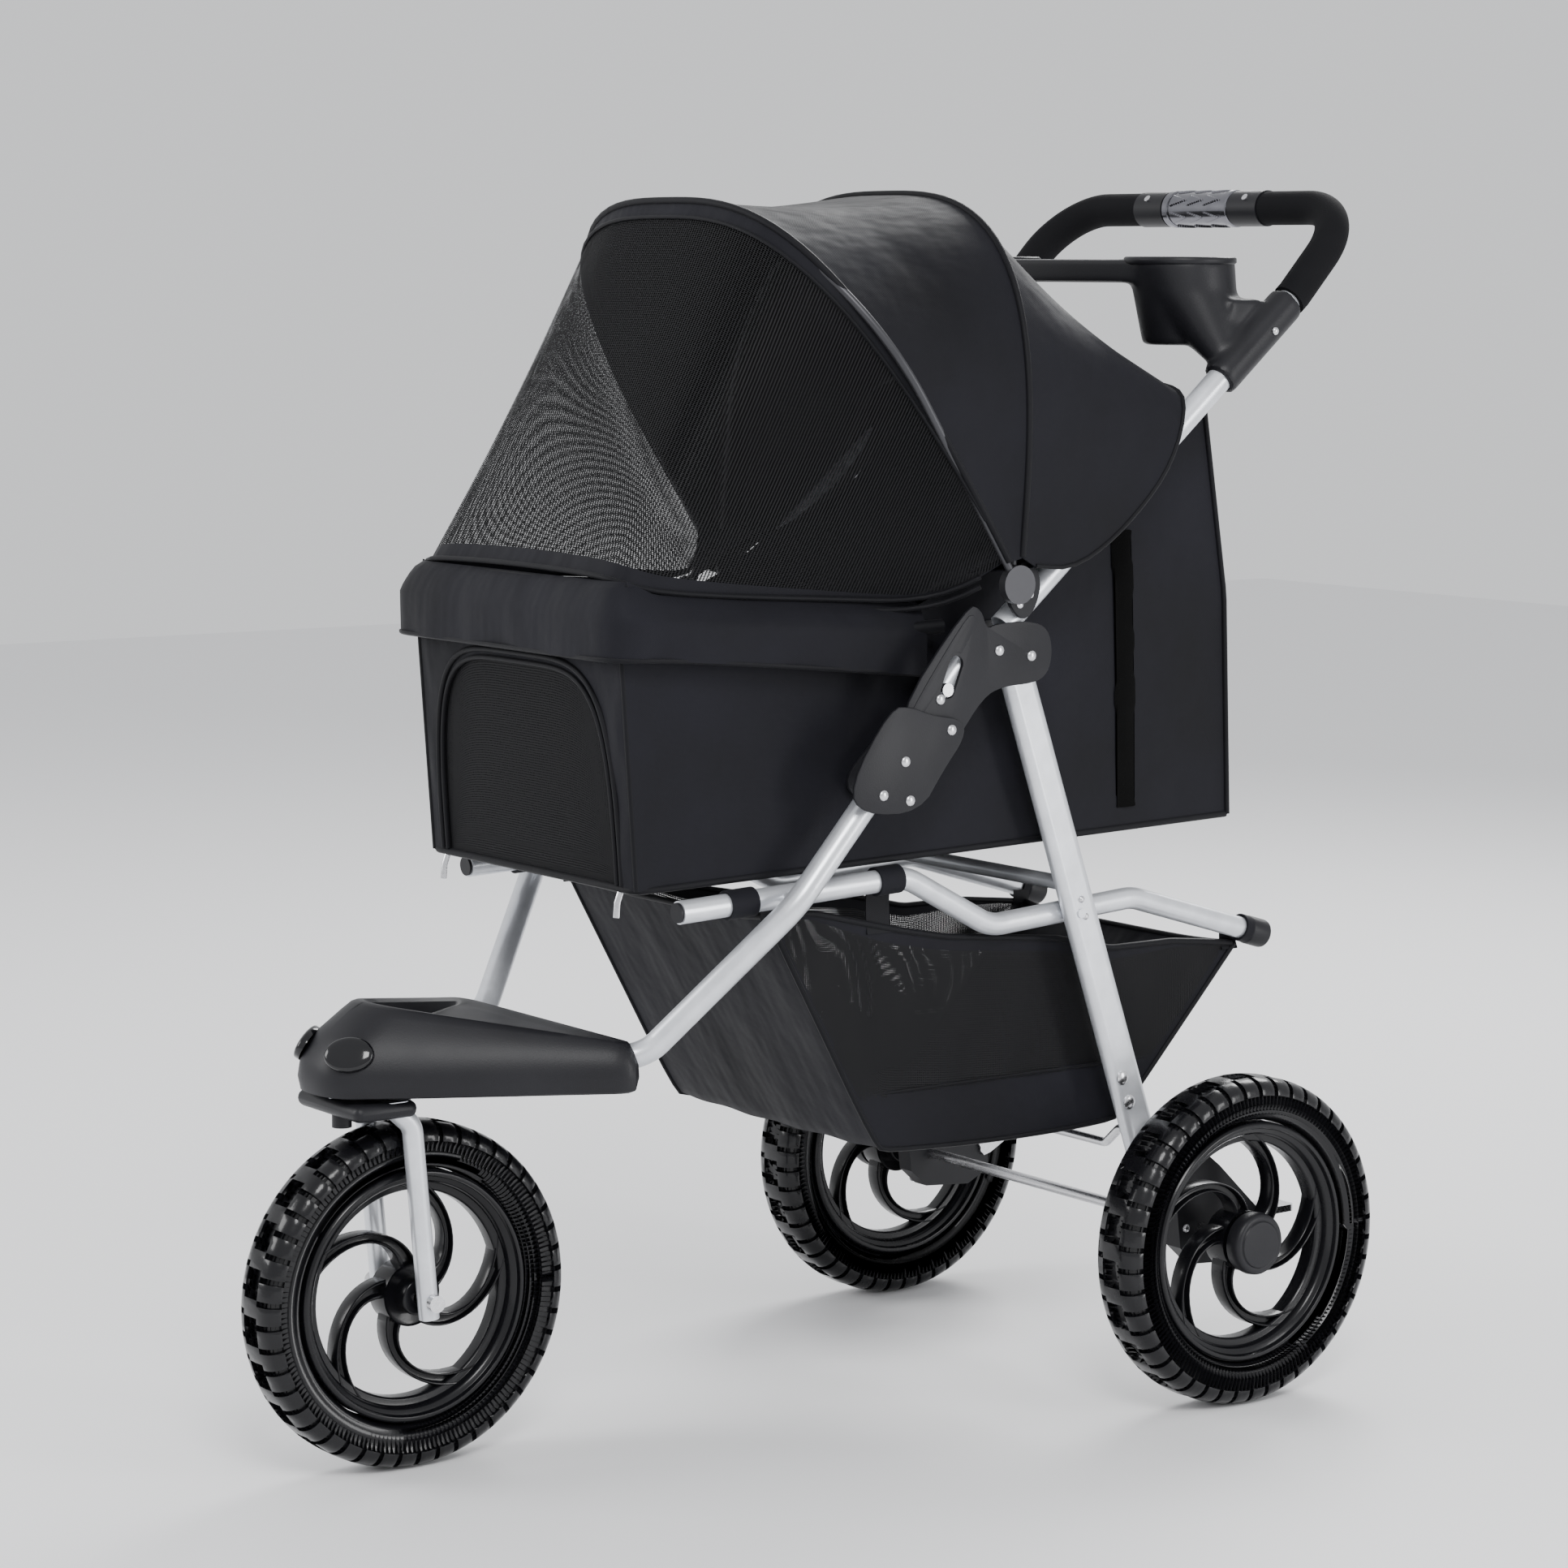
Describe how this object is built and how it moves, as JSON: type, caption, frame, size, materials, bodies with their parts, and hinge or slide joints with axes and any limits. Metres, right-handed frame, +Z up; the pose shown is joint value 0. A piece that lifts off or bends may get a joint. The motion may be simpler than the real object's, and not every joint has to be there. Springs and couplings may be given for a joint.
{
  "type": "pet stroller",
  "caption": "Three-wheel folding stroller for a small pet: mesh-windowed fabric cabin with tilting canopy, swivel front wheel, push handle, tray and lower basket.",
  "frame": {"origin": "on the ground, in the middle of the stroller's length and width", "axes": "+X is the stroller's left side, -Y is forward towards the single front wheel, +Z is up"},
  "size_m": [0.552, 1.0069, 1.041],
  "materials": {
    "silver_tube": "satin silver paint on steel tube",
    "black_plastic": "matt moulded nylon",
    "dark_lens": "smoked gloss lens",
    "steel": "zinc-plated steel",
    "tyre": "black EVA tread, glossy",
    "gloss_black": "gloss moulded plastic",
    "bow_wire": "black coated spring wire",
    "black_mesh": "open polyester mesh",
    "black_fabric": "woven polyester oxford",
    "pad_fabric": "quilted polyester",
    "base_board": "stiff board under the pad",
    "grip_foam": "closed-cell foam",
    "dark_chrome": "dark chrome"
  },
  "bodies": {
    "front_frame": {"front_leg_left": "silver_tube", "front_leg_right": "silver_tube", "lower_cover_left": "black_plastic", "lower_cover_right": "black_plastic", "front_fender": "black_plastic", "fender_lenses": "dark_lens", "caster_housing": "black_plastic"},
    "front_fork": {"front_fork": "silver_tube", "front_axle": "steel"},
    "swivel_lock": {"swivel_lock_knob": "black_plastic"},
    "front_wheel": {"front_tyre": "tyre", "front_rim": "gloss_black"},
    "tub_frame": {"basket_tube_left": "silver_tube", "basket_tube_right": "silver_tube", "basket_straps": "black_fabric", "basket_floor": "black_fabric", "basket_front": "black_fabric", "basket_rear": "black_fabric", "basket_side_left": "black_fabric", "basket_side_right": "black_fabric", "cabin_floor": "base_board", "floor_pad": "pad_fabric", "cabin_front": "black_fabric", "cabin_rear": "black_fabric", "cabin_side_left": "black_fabric", "cabin_side_right": "black_fabric", "cabin_rim_hoop": "silver_tube", "front_flap": "black_fabric", "canopy_rear_bow": "bow_wire", "canopy_rear_panel": "black_fabric"},
    "front_door": {"front_door": "black_mesh"},
    "canopy": {"canopy_front_bow": "bow_wire", "canopy_front_panel": "black_fabric", "canopy_window": "black_mesh"},
    "rear_frame": {"rear_leg_left": "silver_tube", "rear_leg_right": "silver_tube", "axle_bracket_left": "black_plastic", "axle_bracket_right": "black_plastic", "rear_axle": "steel", "rear_cross_tube": "silver_tube", "lower_cross_rod": "steel"},
    "rear_wheel_left": {"rear_tyre_left": "tyre", "rear_rim_left": "gloss_black", "hub_cap_left": "gloss_black"},
    "rear_wheel_right": {"rear_tyre_right": "tyre", "rear_rim_right": "gloss_black", "hub_cap_right": "gloss_black"},
    "brake_left": {"brake_pedal_left": "steel"},
    "brake_right": {"brake_pedal_right": "steel"},
    "handle_frame": {"handle_tube_left": "silver_tube", "handle_tube_right": "silver_tube", "upper_plate_left": "black_plastic", "upper_plate_right": "black_plastic", "foam_grips": "grip_foam", "grip_collars": "black_plastic", "parent_tray": "black_plastic", "canopy_clips": "black_plastic"},
    "release_barrel": {"release_barrel": "dark_chrome"},
    "lock_pins": {"lock_pins": "steel"}
  },
  "joints": [
    {"name": "fold_hinge", "type": "hinge", "parent": "front_frame", "child": "handle_frame", "pos_m": [0, 0.032, 0.597], "axis": [1, 0, 0], "range_deg": [0, 78], "deforming": ["canopy_front_bow", "canopy_front_panel", "canopy_window", "canopy_rear_bow", "canopy_rear_panel", "basket_straps"]},
    {"name": "tub_fold", "type": "hinge", "parent": "front_frame", "child": "tub_frame", "pos_m": [0, -0.101, 0.464], "axis": [1, 0, 0], "range_deg": [-1, 25.72]},
    {"name": "rear_leg_fold", "type": "hinge", "parent": "tub_frame", "child": "rear_frame", "pos_m": [0, 0.198, 0.428], "axis": [1, 0, 0], "range_deg": [-1, 10.96]},
    {"name": "canopy_tilt", "type": "hinge", "parent": "tub_frame", "child": "canopy", "pos_m": [0, 0.096, 0.713], "axis": [1, 0, 0], "range_deg": [-35, 0], "deforming": ["canopy_front_bow", "canopy_front_panel", "canopy_window"]},
    {"name": "front_door_drop", "type": "hinge", "parent": "tub_frame", "child": "front_door", "pos_m": [0, -0.237, 0.499], "axis": [1, 0, 0], "range_deg": [0, 75]},
    {"name": "front_swivel", "type": "hinge", "parent": "front_frame", "child": "front_fork", "pos_m": [0, -0.392, 0.304], "axis": [0, 0, 1], "continuous": true},
    {"name": "swivel_lock_pull", "type": "slide", "parent": "front_fork", "child": "swivel_lock", "axis": [0, 0, -1], "range_m": [0, 0.006], "stiffness_N_per_m": 400, "springref_m": -0.002},
    {"name": "front_wheel_spin", "type": "hinge", "parent": "front_fork", "child": "front_wheel", "pos_m": [0, -0.361, 0.1425], "axis": [1, 0, 0], "continuous": true},
    {"name": "rear_wheel_left_spin", "type": "hinge", "parent": "rear_frame", "child": "rear_wheel_left", "pos_m": [0.244, 0.324, 0.1425], "axis": [1, 0, 0], "continuous": true},
    {"name": "brake_left_press", "type": "hinge", "parent": "rear_frame", "child": "brake_left", "pos_m": [0.19, 0.384, 0.14], "axis": [1, 0, 0], "range_deg": [-20, 0]},
    {"name": "rear_wheel_right_spin", "type": "hinge", "parent": "rear_frame", "child": "rear_wheel_right", "pos_m": [-0.244, 0.324, 0.1425], "axis": [1, 0, 0], "continuous": true},
    {"name": "brake_right_press", "type": "hinge", "parent": "rear_frame", "child": "brake_right", "pos_m": [-0.19, 0.384, 0.14], "axis": [1, 0, 0], "range_deg": [-20, 0]},
    {"name": "release_twist", "type": "hinge", "parent": "handle_frame", "child": "release_barrel", "pos_m": [0, 0.4865, 1.024], "axis": [1, 0, 0], "range_deg": [0, 35], "stiffness_Nm_per_rad": 0.6, "springref_deg": -8.59},
    {"name": "lock_pin_lift", "type": "slide", "parent": "handle_frame", "child": "lock_pins", "axis": [0, 0.3746, 0.9272], "range_m": [-0.0005, 0.0205]}
  ],
  "couplings": [
    {"joint": "tub_fold", "follows": "fold_hinge", "ratio": 0.31695},
    {"joint": "rear_leg_fold", "follows": "fold_hinge", "ratio": 0.12775},
    {"joint": "lock_pin_lift", "follows": "release_twist", "m_per_rad": 0.03274}
  ]
}
